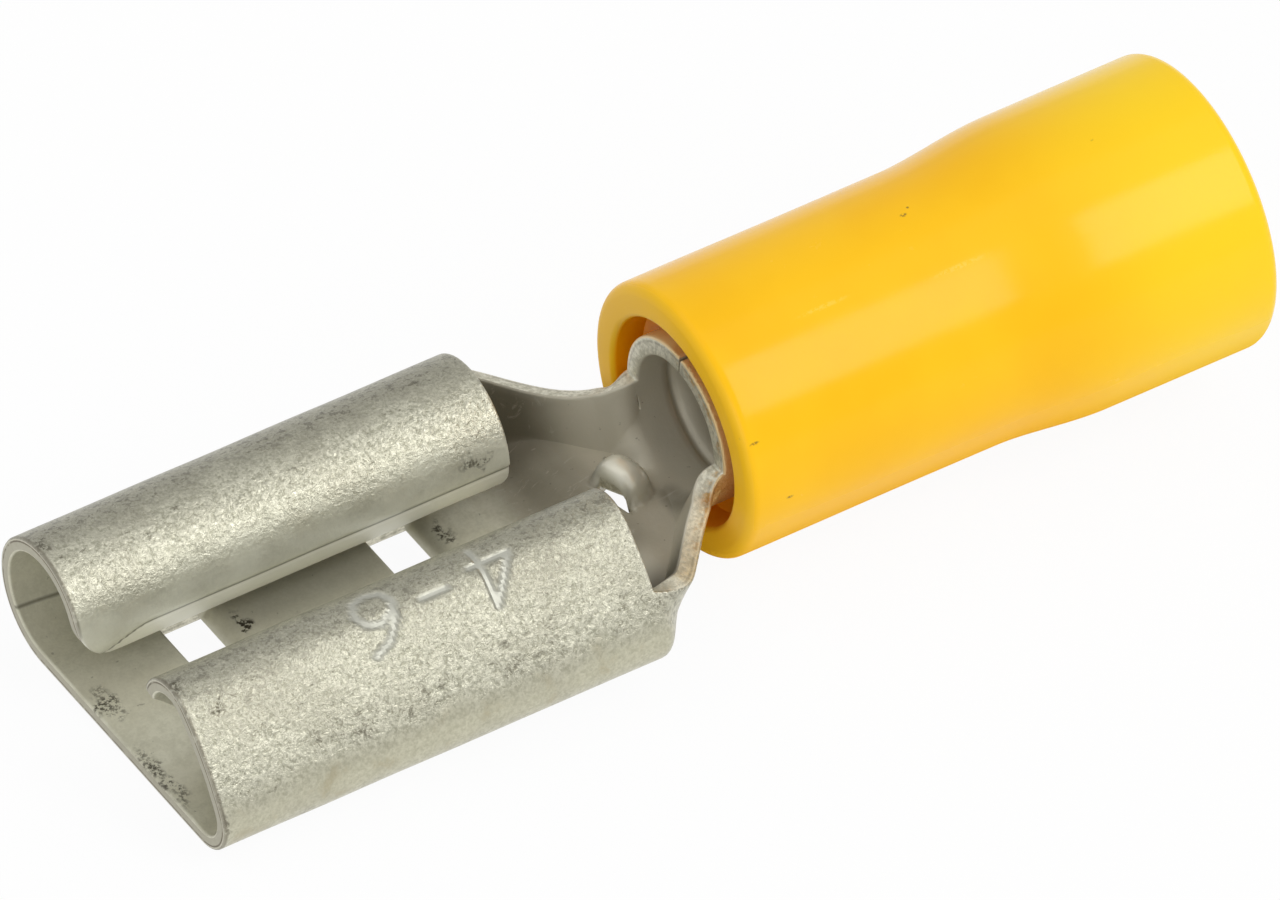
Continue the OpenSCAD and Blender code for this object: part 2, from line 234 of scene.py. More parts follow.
# mm and degrees; x runs back from the mouth, z up from the floor's underside.
tab = {
    "sheet": 0.4, "mouthSheet": 0.3, "mouthTaper": 1.6, "overall": 24.4, "axisH": 2.11,
    # Free edges: their rounding, at most this share of the sheet, and the reach of their rubbed tone.
    "edgeR": 0.04, "edgeShare": 0.4, "rubReach": 0.06,
    # Left curl: one arc.
    "leftL": 9.64, "leftY": 2.66, "leftR": 1.45, "leftSweep": 290, "leftRearR": 0.22,
    # Right curl: bend, long wall, crown and a straight lip.
    "rightL": 9.88, "rightY": 3.15, "bendR": 0.85, "bendSweep": 116.5, "wallR": 5.2, "wallSweep": 23.5,
    "crownR": 0.9, "lipDrop": 1.0, "rightRearR": 0.5,
    # Front corners of the lips, cut back over cutL; rear corners, rounded over rearL.
    "cornerR": 1.2, "cornerH": 1.116, "chamferZ": 2.42, "chamferSoft": 0.06,
    "cutShare": 0.45, "cutL": 1.9, "rearL": 0.9,
    # Flattened band and crease along the left lip.
    "bandL": 0.5, "bandStart": 0.1, "bandFull": 1.6, "bandSoft": 0.05, "bandDeep": 0.035,
    "creaseDeep": 0.02, "creaseWide": 0.045,
    # Slots in the receptacle floor; their rear walls roll over, down to rollLeft of sheet.
    "slots": 2, "slotX": 2.19, "slotPitch": 4.6, "slotL": 1.0, "slotHalf": 2.06, "rollLeft": 0.07,
    # Stop in the neck: a lanced pillow, in its own turned frame, and the slit before it.
    "stopX": 11.53, "stopY": 0.25, "stopTurn": 14, "stopH": 0.6, "stopFront": 0.46, "stopBack": 0.44,
    "stopHalf": 0.59, "stopRim": -0.34, "stopRoll": 0.12, "stopLongPower": 2.6, "stopWidePower": 2.8,
    "stopLong": 0.6, "stopWide": 0.9, "slitFront": -0.44, "slitY": 0.11, "slitHalf": 0.44,
    # Hollow under the stop.
    "hollowLow": 0.38, "hollowClimb": 0.2, "climbY": 0.36, "climbL": 0.75, "hollowBack": 0.24,
    "hollowRight": (-0.58, -0.52), "hollowLeft": (0.30, 0.44), "hollowSkin": 0.1,
    # Neck.
    "waistBack": 1.29, "waistH": 1.47, "waistRise": 0.52, "neckBendR": 0.55, "neckLean": 62,
    "rampL": 1.2, "trayL": 1.1, "closeL": 0.35, "troughL": 0.5, "troughGap": 0.06, "lap": 0.16,
    # Barrel, its seam and its grip grooves.
    "barrelX": 12.58, "barrelR": 1.76, "barrelL": 6.3, "seamHalf": 0.04, "seamTurn": 5,
    "grooves": 3, "grooveX": 0.62, "groovePitch": 1.9, "grooveD": 0.12, "grooveHalf": 0.14,
    # Numbers coined on the right curl; a stroke is at full depth to coinCore and ends at coinHalf.
    "coinX": 5.7, "coinS": 1.58, "coinTall": 1.3, "coinGap": 0.42, "coinDeep": 0.014,
    "coinCore": 0.04675, "coinHalf": 0.11475,
    # Rolled sheet is never quite even: the least and the usual depth of its waves.
    "waveLeast": 0.003, "wave": 0.004,
}
tab["floorZ"] = tab["axisH"] - tab["barrelR"]
tab["barrelEnd"] = tab["barrelX"] + tab["barrelL"]
tab["waistX"] = tab["barrelX"] - tab["waistBack"]
# A central column's q runs from 0 in the middle over the flat, the bend and the wall.
flatN, bendN, wallN = 5, 6, 3
sideN = flatN + bendN + wallN
farAway, justOver = 9.0, 0.001


def ease(a, b, x):
    t = np.clip((x - a) / (b - a), 0, 1)
    return t * t * (3 - 2 * t)


def mix(a, b, k):
    return a + (b - a) * k


def turned(degrees):
    return np.cos(np.radians(degrees)), np.sin(np.radians(degrees))


def roundOff(distance, radius):
    # How far a rounded edge falls back at this distance from it.
    d = np.clip(distance, 0, radius)
    return radius - np.sqrt(np.maximum(radius ** 2 - (radius - d) ** 2, 0))


# Centres of the right curl's arcs, worked out along its chain.
def rightChain():
    t = tab
    wallTurn = 180 - t["bendSweep"]
    crownTurn = wallTurn - t["wallSweep"]
    bend = np.array((-t["rightY"], t["bendR"]))
    wall = bend + (t["bendR"] - t["wallR"]) * np.array(turned(wallTurn + 90))
    crown = wall + (t["wallR"] - t["crownR"]) * np.array(turned(crownTurn + 90))
    return wallTurn, crownTurn, wall, crown


wallTurn, crownTurn, wallC, crownC = rightChain()


def edgeTop(x):
    t = tab
    d = x - t["waistX"]
    span = np.where(d < 0, t["waistX"] - t["leftL"], t["waistBack"])
    return t["waistH"] + t["waistRise"] * (d / span) ** 2


def startX(side):
    return tab["leftL"] if side > 0 else tab["rightL"]


def neckTop(side, x):
    s = np.maximum(x, startX(side))
    return mix(edgeTop(s), tab["axisH"], ease(tab["barrelX"] - tab["closeL"], tab["barrelX"], s))


def trayTop(side):
    return float(neckTop(side, startX(side)))


def trayRise(side):
    t = tab
    if side > 0:
        return math.degrees(math.asin((trayTop(1) - t["leftR"]) / t["leftR"]))
    return math.degrees(math.asin((trayTop(-1) - wallC[1]) / t["wallR"]))


def trayPoint(side, q):
    t = tab
    rise = trayRise(side)
    onFlat, onBend = q <= flatN, q <= flatN + bendN
    if side > 0:
        c, s = turned(-90 + (rise + 90) * (q - flatN) / (bendN + wallN))
        y = np.where(onFlat, t["leftY"] * q / flatN, t["leftY"] + t["leftR"] * c)
        return y, np.where(onFlat, 0, t["leftR"] * (1 + s))
    c, s = turned(-90 + t["bendSweep"] * (q - flatN) / bendN)
    c2, s2 = turned(mix(90 - wallTurn, rise, (q - flatN - bendN) / wallN))
    y = np.where(onBend, t["rightY"] + t["bendR"] * c, -wallC[0] + t["wallR"] * c2)
    z = np.where(onBend, t["bendR"] * (1 + s), wallC[1] + t["wallR"] * s2)
    return np.where(onFlat, t["rightY"] * q / flatN, y), np.where(onFlat, 0, z)


def tubPoint(q, w, base, top):
    t = tab
    r, arc = t["neckBendR"], t["neckLean"]
    c, s = turned(arc)
    up = top - base - r * (1 - c)
    flat = w - r * s - up * c / s
    k = np.clip((q - flatN) / bendN, 0, 1)
    m = np.clip((q - flatN - bendN) / wallN, 0, 1)
    ck, sk = turned(arc * k)
    y = np.where(q <= flatN, flat * q / flatN, flat + r * sk + m * up * c / s)
    return y, np.where(q <= flatN, base, base + r * (1 - ck) + m * up)


# Outer face of the central columns: tray, then neck, then the lower half of the barrel.
def sidePoint(side, q, x):
    t = tab
    start = startX(side)
    wide = t["leftY"] + t["leftR"] if side > 0 else t["rightY"] + t["bendR"]
    w = mix(wide, t["barrelR"], ease(start, t["barrelX"] + t["lap"], x))
    base = t["floorZ"] * ease(t["rightL"], t["rightL"] + t["rampL"], x)
    top = neckTop(side, x)
    trayY, trayZ = trayPoint(side, q)
    tubY, tubZ = tubPoint(q, w, base, top)
    k = ease(start, start + t["trayL"], x)
    y = mix(trayY * w / wide, tubY, k)
    z = mix(base + trayZ * (top - base) / trayTop(side), tubZ, k)
    reach = 90 + np.degrees(np.arcsin(np.clip((top - t["axisH"]) / t["barrelR"], -1, 1)))
    c, s = turned(-90 + reach * q / sideN)
    k = ease(t["barrelX"] - t["troughL"], t["barrelX"] - t["troughGap"], x)
    return side * mix(y, t["barrelR"] * c, k), mix(z, t["axisH"] + t["barrelR"] * s, k)


# Outer face of the curls beyond the tray, by the length along the section.
def leftCurl(s):
    c, n = turned(trayRise(1) + np.degrees(s / tab["leftR"]))
    return tab["leftY"] + tab["leftR"] * c, tab["leftR"] * (1 + n)


def rightArcs():
    # Where the wall's arc starts beyond the tray, and the lengths of wall and crown.
    first = 180 - trayRise(-1)
    wallL = math.radians(first - crownTurn - 90) * tab["wallR"]
    return first, wallL, math.radians(crownTurn + 90) * tab["crownR"]


def rightCurl(s):
    t = tab
    first, wallL, crownL = rightArcs()
    c, n = turned(first - np.degrees(np.minimum(s, wallL) / t["wallR"]))
    c2, n2 = turned(crownTurn + 90 - np.degrees(np.clip(s - wallL, 0, crownL) / t["crownR"]))
    drop = np.maximum(s - wallL - crownL, 0)
    onWall = s <= wallL
    y = np.where(onWall, wallC[0] + t["wallR"] * c, crownC[0] + t["crownR"] * c2)
    z = np.where(onWall, wallC[1] + t["wallR"] * n, crownC[1] + t["crownR"] * n2 - drop)
    return y, z


leftCurlL = math.radians(tab["leftSweep"] - 90 - trayRise(1)) * tab["leftR"]
rightCurlL = sum(rightArcs()[1:]) + tab["lipDrop"]


# ---- Rows and columns of the sheet ----

# Distances from a free edge at which a row or column lies, to round that edge.
nearEdge = (0.012, 0.035, 0.07, 0.12)
nearRoll = (0.012, 0.04, 0.09, 0.16, 0.25, 0.35, 0.42)
nearBand = (0.2, 0.3, 0.38, 0.43, 0.47, 0.51, 0.55, 0.6, 0.68)

# How far apart rows and columns may lie, mm, and how far the close ones reach.
spacing = {
    "curlRow": 0.24, "coinRow": 0.075, "coinReach": 2.1, "neckRow": 0.09, "neckEnd": 0.15,
    "stopRow": 0.05, "stopReach": 0.75, "grooveRow": 0.12, "grooveReach": 1.4, "barrelRow": 0.5,
    "stopColumn": 0.055, "stopColumnsEnd": 0.99, "neckHalf": 1.35, "wallStep": 0.4,
    "flatStep": 0.4, "sideStep": 0.45, "curlColumn": 0.16, "coinColumn": 0.065, "coinMargin": 0.15,
    "turnFull": 0.5, "turnEnd": 0.85, "turnFade": 3,
}


def spaced(stops, step):
    # Values from the first stop to the last, through every stop, none further apart than step().
    values = [stops[0]]
    for a, b in zip(stops, stops[1:]):
        n = max(1, math.ceil((b - a) / step((a + b) / 2) - 1e-6))
        values += [a + (b - a) * k / n for k in range(1, n + 1)]
    return values


def slotEnds():
    fronts = [tab["slotX"] + tab["slotPitch"] * k for k in range(tab["slots"])]
    return [(front, front + tab["slotL"]) for front in fronts]


def grooveMiddles():
    t = tab
    first = t["barrelX"] + t["grooveX"]
    return [first + t["groovePitch"] * k + t["grooveHalf"] for k in range(t["grooves"])]


def rowStops():
    t = tab
    marks = {0, t["barrelEnd"], t["barrelX"], t["leftL"], t["rightL"]}
    marks |= set(nearEdge) | {t["barrelX"] + d for d in nearEdge}
    marks |= {e - d for d in nearEdge for e in (t["leftL"], t["rightL"], t["barrelEnd"])}
    for front, rear in slotEnds():
        marks |= {front, rear} | {front - d for d in nearEdge} | {rear + d for d in nearRoll}
    marks |= {t["stopX"] + t["slitFront"] - d for d in (0,) + nearEdge}
    marks |= {t["stopX"] + t["stopRim"] + d for d in (0,) + nearEdge}
    for g in grooveMiddles():
        marks |= {g - t["grooveHalf"], g, g + t["grooveHalf"]}
    return sorted(marks)


def rowStep(x):
    t, m = tab, spacing
    if abs(x - t["coinX"]) < m["coinReach"]:
        return m["coinRow"]
    if x < t["leftL"]:
        return m["curlRow"]
    if x < t["barrelX"] - m["neckEnd"]:
        return m["stopRow"] if abs(x - t["stopX"]) < m["stopReach"] else m["neckRow"]
    return m["grooveRow"] if x < t["barrelX"] + m["grooveReach"] else m["barrelRow"]


# Central columns as q values, closer near the slots' sides, the stop and the top edge.
def centralColumns(side):
    t, m = tab, spacing
    perQ = (t["leftY"] if side > 0 else t["rightY"]) / flatN
    slot = t["slotHalf"] / perQ
    marks = {0, slot, flatN, flatN + bendN, sideN}
    marks |= {slot + d / perQ for d in nearEdge[:3]}
    marks |= {sideN - d / m["wallStep"] for d in nearEdge[:3]}
    flatQ = m["neckHalf"] / flatN    # mm of neck floor for each q step, about the stop
    for y in (t["slitY"] + t["slitHalf"], t["slitY"] - t["slitHalf"]):
        if y * side > 0:
            marks.add(y * side / flatQ)
    def step(q):
        if q < m["stopColumnsEnd"] / flatQ:
            return m["stopColumn"] / flatQ
        return m["flatStep"] if q < flatN else m["sideStep"]
    return spaced(sorted(marks), step)


def curlColumns(length, coin):
    marks = {0, length} | {length - d for d in nearEdge}
    half = tab["coinTall"] / 2 + spacing["coinMargin"]
    if coin:
        marks |= {tab["coinS"] - half, tab["coinS"] + half}
    else:
        marks |= {length - d for d in nearBand}
    def step(s):
        onCoin = coin and abs(s - tab["coinS"]) < half
        return spacing["coinColumn" if onCoin else "curlColumn"]
    return spaced(sorted(marks), step)


# ---- Plain numbers coined on the right curl ----

# Width of each sign and its strokes, in a box one high.
coinSigns = {
    "4": (0.72, [[(0.5, 0), (0.5, 1), (0, 0.3), (0.68, 0.3)]]),
    "-": (0.42, [[(0, 0.45), (0.42, 0.45)]]),
    "6": (0.66, [[(0.6, 0.98), (0.3, 0.85), (0.08, 0.55), (0, 0.28), (0.1, 0.08), (0.32, 0),
                  (0.55, 0.08), (0.66, 0.3), (0.55, 0.5), (0.32, 0.57), (0.1, 0.45), (0.02, 0.3)]]),
}


def coinStrokes():
    t = tab
    strokes, u = [], 0
    for sign in "4-6":
        width, lines = coinSigns[sign]
        for line in lines:
            strokes.append([((u + a) * t["coinTall"], (b - 0.5) * t["coinTall"]) for a, b in line])
        u += width + t["coinGap"]
    half = (u - t["coinGap"]) * t["coinTall"] / 2
    # They read from the other side: along the part towards the mouth, feet up.
    return [[(t["coinX"] - (a - half), t["coinS"] - b) for a, b in line] for line in strokes]


def strokeDistance(x, s):
    best = np.full(x.shape, farAway)
    for line in coinStrokes():
        for (x0, s0), (x1, s1) in zip(line, line[1:]):
            dx, ds = x1 - x0, s1 - s0
            k = np.clip(((x - x0) * dx + (s - s0) * ds) / (dx * dx + ds * ds), 0, 1)
            best = np.minimum(best, np.hypot(x - x0 - k * dx, s - s0 - k * ds))
    return best


# ---- The sheet itself ----

def stopFrame(x, y):
    c, s = turned(tab["stopTurn"])
    dx, dy = x - tab["stopX"], y - tab["stopY"]
    return dx * c + dy * s, dy * c - dx * s


def cellMiddle(field):
    return (field[:-1, :-1] + field[1:, :-1] + field[:-1, 1:] + field[1:, 1:]) / 4


def toCorners(cells):
    # Adds each cell's value to its four corners.
    corners = np.zeros((cells.shape[0] + 1, cells.shape[1] + 1) + cells.shape[2:])
    for b in (slice(0, -1), slice(1, None)):
        for a in (slice(0, -1), slice(1, None)):
            corners[a, b] += cells
    return corners


def unit(vectors, least):
    return vectors / np.maximum(np.linalg.norm(vectors, axis=-1, keepdims=True), least)


class SheetGrid:
    # The sheet's outer face. Rows run back from the mouth; columns run from the right curl's
    # lip over the floor to the left curl's lip, and closed at the seam along the barrel.
    def __init__(self):
        right, left = centralColumns(-1), centralColumns(1)
        self.rows = np.array(spaced(rowStops(), rowStep))
        self.rightS = np.array(curlColumns(rightCurlL, True)[:0:-1])
        self.leftS = np.array(curlColumns(leftCurlL, False)[1:])
        self.central = np.array([-q for q in right[:0:-1]] + left)
        a = len(self.rightS)
        b = a + len(self.central)
        self.columns = b + len(self.leftS)
        self.right, self.middle, self.left = slice(0, a), slice(a, b), slice(b, self.columns)
        self.centre = a + len(right) - 1
        self.q = np.abs(self.central)[None, :] + 0 * self.rows[:, None]
        self.x = np.repeat(self.rows[:, None], self.columns, 1)
        self.y, self.z, self.s = (np.zeros_like(self.x) for _ in range(3))
        self.onCurl = (self.rows <= tab["rightL"])[:, None]
        self.placeMiddle()
        self.placeCurls()
        self.placeBarrel()
        self.points = np.stack([self.x, self.y, self.z], -1)
        self.cutOpenings()

    def middleYZ(self, x):
        y, z = np.zeros_like(x), np.zeros_like(x)
        for side, pick in ((-1, self.central < 0), (1, self.central >= 0)):
            y[:, pick], z[:, pick] = sidePoint(side, self.q[:, pick], x[:, pick])
        return y, z

    def placeMiddle(self):
        # Near the stop the rows turn with it.
        t = tab
        x0 = self.x[:, self.middle].copy()
        slope = math.tan(math.radians(t["stopTurn"]))
        away = 1 - ease(spacing["turnFull"], spacing["turnEnd"], np.abs(x0 - t["stopX"]))
        flat = 1 - ease(flatN, flatN + spacing["turnFade"], self.q)
        reach = spacing["stopReach"]
        x = x0
        y, z = self.middleYZ(x)
        for _ in range(3):
            x = x0 - slope * np.clip(y - t["stopY"], -reach, reach) * away * flat
            y, z = self.middleYZ(x)
        self.x[:, self.middle], self.y[:, self.middle], self.z[:, self.middle] = x, y, z

    def placeCurls(self):
        t = tab
        curl = self.onCurl[:, 0]
        x = self.rows[curl][:, None]
        for s, where, shape, length, end, rearR in (
                (self.rightS, self.right, rightCurl, rightCurlL, t["rightL"], t["rightRearR"]),
                (self.leftS, self.left, leftCurl, leftCurlL, t["leftL"], t["leftRearR"])):
            y, z = shape(s)
            # Each lip is cut back at its front corner and rounded at its rear one.
            if shape is leftCurl:
                lipZ = float(shape(np.array([length]))[1][0])
                rise = np.clip(z - lipZ, 0, t["cornerH"])
                cut = roundOff(t["cornerR"] - t["cornerH"] + rise, t["cornerR"])
            else:
                below = np.maximum(t["chamferZ"] - z, 0)
                cut = below ** 2 / (below + t["chamferSoft"])
            cut = np.where(s > length * t["cutShare"], cut, 0)
            front = cut * np.clip(1 - x / t["cutL"], 0, 1)
            rear = roundOff(length - s, rearR) * np.clip(1 - (end - x) / t["rearL"], 0, 1)
            self.x[curl, where] = x + front - rear
            self.y[curl, where], self.z[curl, where], self.s[curl, where] = y, z, s

    def placeBarrel(self):
        # Upper half of the barrel, up to the seam.
        t = tab
        tube = self.rows >= t["barrelX"] - 1e-9
        gap = math.degrees(t["seamHalf"] / t["barrelR"])
        for side, s, where, length in ((-1, self.rightS, self.right, rightCurlL),
                                       (1, self.leftS, self.left, leftCurlL)):
            c, n = turned((90 + side * t["seamTurn"] - gap) * s / length)
            self.y[tube, where] = side * t["barrelR"] * c
            self.z[tube, where] = t["axisH"] + t["barrelR"] * n

    def cutOpenings(self):
        # Cells that hold sheet: none between the curls and the barrel, in the slots or in the slit.
        t = tab
        rowMid = (self.rows[:-1] + self.rows[1:]) / 2
        a, b = self.middle.start, self.middle.stop - 1
        keep = np.ones((len(rowMid), self.columns - 1), bool)
        keep[(rowMid > t["rightL"]) & (rowMid < t["barrelX"]), :a] = False
        keep[(rowMid > t["leftL"]) & (rowMid < t["barrelX"]), b:] = False
        floor = np.zeros_like(keep)
        floor[:, a:b] = True
        x, y = cellMiddle(self.x), cellMiddle(self.y)
        for front, rear in slotEnds():
            inside = (rowMid > front) & (rowMid < rear)
            keep &= ~(inside[:, None] & floor & (np.abs(y) < t["slotHalf"]))
        across = stopFrame(x, y)[1] + t["stopY"] - t["slitY"]
        onRow = (rowMid > t["stopX"] + t["slitFront"]) & (rowMid < t["stopX"] + t["stopRim"])
        keep &= ~(onRow[:, None] & floor & (np.abs(across) < t["slitHalf"]))
        self.keep = keep
        self.alive = toCorners(keep) > 0
        # Slots and slit don't bend the sheet, so their cells still count for its direction.
        self.counted = keep | floor

    def inward(self):
        p = self.points
        across = np.cross(p[1:, 1:] - p[:-1, :-1], p[:-1, 1:] - p[1:, :-1])
        # Each cell counts by the inverse of its area, so uneven rows don't tilt the sheet.
        across /= np.maximum(np.linalg.norm(across, axis=-1, keepdims=True), 1e-5) ** 2
        normals = unit(toCorners(self.counted[..., None] * across), 1e-12)
        floorUp = normals[np.searchsorted(self.rows, 1.0), self.centre][2]
        return normals if floorUp >= 0 else -normals

    def rimSides(self):
        # Sides of kept cells with no kept cell beyond.
        held = np.pad(self.keep, 1)
        ways = ((-1, 0, (0, 0), (0, 1)), (1, 0, (1, 1), (1, 0)),
                (0, -1, (1, 0), (0, 0)), (0, 1, (0, 1), (1, 1)))
        rim = []
        for i, j in zip(*np.nonzero(self.keep)):
            for di, dj, a, b in ways:
                if not held[i + 1 + di, j + 1 + dj]:
                    rim.append(((i + a[0], j + a[1]), (i + b[0], j + b[1])))
        return rim

    def rimDistance(self, rim):
        rimPoints = sorted({p for side in rim for p in side})
        tree = KDTree(len(rimPoints))
        for k, p in enumerate(rimPoints):
            tree.insert(self.points[p], k)
        tree.balance()
        distance = np.full(self.x.shape, farAway)
        for i, j in zip(*np.nonzero(self.alive)):
            distance[i, j] = tree.find(self.points[i, j])[2]
        return distance


def sheetThickness(g):
    # The sheet is coined a little thinner towards the mouth.
    t = tab
    thick = mix(t["mouthSheet"], t["sheet"], ease(0, t["mouthTaper"], g.x))
    # The rear wall of each slot rolls over towards the floor.
    floor = np.zeros(g.x.shape, bool)
    floor[:, g.middle] = True
    for _, rear in slotEnds():
        rolled = t["sheet"] - roundOff(g.x - rear, t["sheet"])
        here = floor & (g.x >= rear - 1e-6) & (g.x < rear + t["sheet"])
        here &= np.abs(g.y) <= t["slotHalf"] + justOver
        thick = np.where(here, np.maximum(rolled, t["rollLeft"]), thick)
    # Grip grooves inside the barrel.
    for middle in grooveMiddles():
        thick -= t["grooveD"] * np.clip(1 - np.abs(g.x - middle) / t["grooveHalf"], 0, 1)
    return thick


def lipBand(g):
    # Flattened band along the left lip: where it is, and the distance from its crease.
    t = tab
    toLip = leftCurlL - g.s[:, g.left]
    width = t["bandL"] * ease(t["bandStart"], t["bandFull"], g.x[:, g.left])
    band = np.zeros_like(g.x)
    band[:, g.left] = g.onCurl * (1 - ease(width - t["bandSoft"], width + t["bandSoft"], toLip))
    gap = np.full(g.x.shape, farAway)
    gap[:, g.left] = np.where(g.onCurl, toLip - width, farAway)
    return band, gap


def coinedNumbers(g):
    t = tab
    away = strokeDistance(g.x[:, g.right], g.s[:, g.right])
    coin = np.zeros_like(g.x)
    coin[:, g.right] = (1 - ease(t["coinCore"], t["coinHalf"], away)) * g.onCurl
    return coin


def raisedStop(g, along, across, near):
    # The floor is lanced at the front and pushed up into a small pillow.
    t = tab
    length = np.where(along < 0, -along / t["stopFront"], along / t["stopBack"])
    width = np.abs(across) / t["stopHalf"]
    body = np.clip(1 - length ** t["stopLongPower"] - width ** t["stopWidePower"], 0, 1)
    crown = np.where(near, t["stopH"] * np.sqrt(body), 0)
    # Its hollow underside climbs away from the left curl and ends short at the right.
    climb = np.clip((t["climbY"] - across) / t["climbL"], 0, 1)
    hollow = (t["hollowLow"] + t["hollowClimb"] * climb) * ease(*t["hollowRight"], across)
    hollow = hollow * (1 - ease(*t["hollowLeft"], across))
    hollow = hollow * np.sqrt(np.clip(1 - (np.maximum(along, 0) / t["hollowBack"]) ** 3, 0, 1))
    room = np.maximum(t["sheet"] + crown - t["hollowSkin"], 0)
    return crown, np.where(near, np.minimum(hollow, room), 0)


def rolledWaves(g):
    # Slow waves, always inwards.
    grit = np.random.default_rng(7)
    a, b, c = grit.uniform(0, 6.28, 3)
    swell = (1 + np.sin(0.9 * g.x + 1.3 * g.y + a) * np.sin(1.7 * g.z - 0.8 * g.x + b)
             + 0.5 * np.sin(2.3 * g.x + 2.1 * g.z + c))
    return np.maximum(tab["waveLeast"] + tab["wave"] * swell, 0)


def buildTerminal():
    t = tab
    g = SheetGrid()
    rim = g.rimSides()
    edge = g.rimDistance(rim)
    thick = sheetThickness(g)
    band, lipGap = lipBand(g)
    coin = coinedNumbers(g)
    onFloor = np.zeros(g.x.shape, bool)
    onFloor[:, g.middle] = g.q < flatN + 1
    along, across = stopFrame(g.x, g.y)
    near = onFloor & (along > t["stopRim"] - justOver)
    near &= (np.abs(along) < t["stopLong"]) & (np.abs(across) < t["stopWide"])
    crown, hollow = raisedStop(g, along, across, near)
    # The stop's front edge is rolled wider than the others.
    wide = np.where(near & (along < 0), t["stopRoll"], t["edgeR"])
    most = thick * t["edgeShare"]
    sunk = roundOff(edge, np.minimum(t["edgeR"], most)) + rolledWaves(g) + t["bandDeep"] * band
    sunk = sunk + t["creaseDeep"] * np.exp(-(lipGap / t["creaseWide"]) ** 2) + t["coinDeep"] * coin + hollow
    raised = thick - roundOff(edge, np.minimum(wide, most)) + crown
    inward = g.inward()
    outer = (g.points + inward * sunk[..., None])[g.alive]
    inner = (g.points + inward * raised[..., None])[g.alive]
    verts = np.concatenate([outer, inner]) + (-t["overall"], 0, -t["axisH"])

    count = len(outer)
    index = np.full(g.x.shape, -1)
    index[g.alive] = np.arange(count)
    faces, kinds = [], []    # kinds: 0 outer skin, 1 inside, 2 cut edge
    for i, j in zip(*np.nonzero(g.keep)):
        a, b, c, d = (int(index[p]) for p in ((i, j), (i + 1, j), (i + 1, j + 1), (i, j + 1)))
        faces += [(a, b, c, d), (count + d, count + c, count + b, count + a)]
        kinds += [0, 1]
    for p, n in rim:
        a, b = int(index[p]), int(index[n])
        faces.append((a, b, count + b, count + a))
        kinds.append(2)

    # What the finishes read: each field on the outer face and on the inner one.
    none = np.zeros_like(g.x)
    rimNear = np.exp(-edge / t["rubReach"])
    share = np.clip(crown / t["stopH"], 0, 1)
    fields = {"rimNear": (rimNear, rimNear), "coin": (coin, none), "lipBand": (band, none),
              "lipGap": (lipGap, lipGap), "stopCrown": (share, share), "across": (none, none + 1)}
    values = {name: np.concatenate([a[g.alive], b[g.alive]]) for name, (a, b) in fields.items()}
    print("terminal sheet:", len(g.rows), "rows,", g.columns, "columns,", len(faces), "faces")
    return meshPiece("terminalSheet", (verts * mm).tolist(), faces, kinds, values)


def meshPiece(name, verts, faces, kinds=None, values=None, sharpFrom=None):
    mesh = bpy.data.meshes.new(name)
    mesh.from_pydata(verts, [], faces)
    mesh.polygons.foreach_set("use_smooth", [True] * len(faces))
    if kinds:
        mesh.polygons.foreach_set("material_index", kinds)
    for field, numbers in (values or {}).items():
        store = mesh.attributes.new(field, "FLOAT", "POINT")
        store.data.foreach_set("value", numbers.astype(float))
    bm = bmesh.new()
    bm.from_mesh(mesh)
    bmesh.ops.recalc_face_normals(bm, faces=bm.faces)
    if sharpFrom:
        for e in bm.edges:
            if len(e.link_faces) == 2 and e.calc_face_angle(0) > sharpFrom:
                e.smooth = False
    bm.to_mesh(mesh)
    bm.free()
    mesh.update()
    piece = bpy.data.objects.new(name, mesh)
    bpy.context.scene.collection.objects.link(piece)
    return piece


# ---- Tin plate finishes ----

# Smudges and scuffs: where they lie and how far they reach, mm.
skinMarks = {
    "leftMouth": ((-24.4, 2.8, 0.75), (0.35, 0.3, 0.3)),
    "rightMouth": ((-24.4, -2.0, 1.0), (0.4, 0.35, 0.3)),
    "rightFoot": ((-24.4, -3.75, -0.9), (0.16, 0.5, 0.7)),
    "lipCluster": ((-15.45, 1.3, -0.22), (0.4, 0.32, 0.16)),
    "square": ((-23.7, -2.7, 0.7), (0.17, 0.14, 0.14)),
}
insideMarks = {
    "floorLeft": ((-24.1, 0.8, -1.7), (0.35, 0.55, 0.3)),
    "floorRight": ((-24.25, -1.5, -1.7), (0.24, 1.3, 0.3)),
    "slotScuff": ((-20.8, 1.25, -1.7), (0.13, 0.5, 0.3)),
    "slotScuff2": ((-20.84, 1.1, -1.7), (0.12, 0.3, 0.3)),
    "rearScuff": ((-16.2, 1.3, -1.7), (0.14, 0.45, 0.3)),
}
skinTones = {
    "dull": (0.35, 0.342, 0.26), "bright": (0.72, 0.704, 0.57), "flank": (0.53, 0.51, 0.375),
    "cloud": (0.42, 0.40, 0.31), "darkTops": (0.30, 0.285, 0.225), "speck": (0.12, 0.11, 0.08),
    "crack": (0.13, 0.12, 0.085), "pit": (0.14, 0.13, 0.09), "stain": (0.38, 0.33, 0.205),
    "litTurnUnder": (0.68, 0.68, 0.56), "coin": (0.47, 0.47, 0.41), "lip": (0.82, 0.81, 0.69),
    "ridgeHighlight": (0.86, 0.85, 0.74), "creaseShade": (0.16, 0.15, 0.10), "smudge": (0.075, 0.065, 0.04),
    "mouth": (0.1, 0.08, 0.045), "tan": (0.80, 0.52, 0.13), "rim": (0.78, 0.76, 0.65),
}
